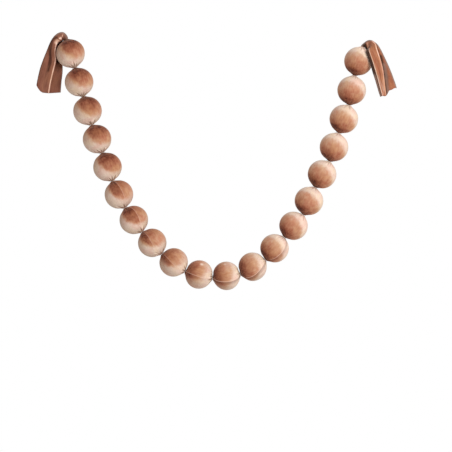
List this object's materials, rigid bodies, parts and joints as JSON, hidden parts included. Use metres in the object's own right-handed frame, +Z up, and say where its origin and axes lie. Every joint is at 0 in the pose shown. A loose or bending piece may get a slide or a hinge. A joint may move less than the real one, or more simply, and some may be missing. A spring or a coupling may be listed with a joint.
{
  "type": "velvet ball garland",
  "caption": "Swag of stuffed velvet balls gathered from one fabric tube, with flat folded tails that bend over a nail at each end.",
  "frame": {"origin": "underside of the left bend, where it rests on its nail", "axes": "+X along the garland from its left end to its right end, +Y away from the viewer and towards the wall, +Z up"},
  "size_m": [0.9544, 0.0813, 0.684],
  "materials": {
    "ball_velvet": "crushed pile",
    "left_tail_velvet": "crushed pile",
    "right_tail_velvet": "crushed pile"
  },
  "bodies": {
    "root": {"ball_01": "ball_velvet", "ball_02": "ball_velvet", "ball_03": "ball_velvet", "ball_04": "ball_velvet", "ball_05": "ball_velvet", "ball_06": "ball_velvet", "ball_07": "ball_velvet", "ball_08": "ball_velvet", "ball_09": "ball_velvet", "ball_10": "ball_velvet", "ball_11": "ball_velvet", "ball_12": "ball_velvet", "ball_13": "ball_velvet", "ball_14": "ball_velvet", "ball_15": "ball_velvet", "ball_16": "ball_velvet", "ball_17": "ball_velvet", "ball_18": "ball_velvet", "ball_19": "ball_velvet", "ball_20": "ball_velvet", "tail_left": "left_tail_velvet", "tail_right": "right_tail_velvet"}
  },
  "joints": []
}
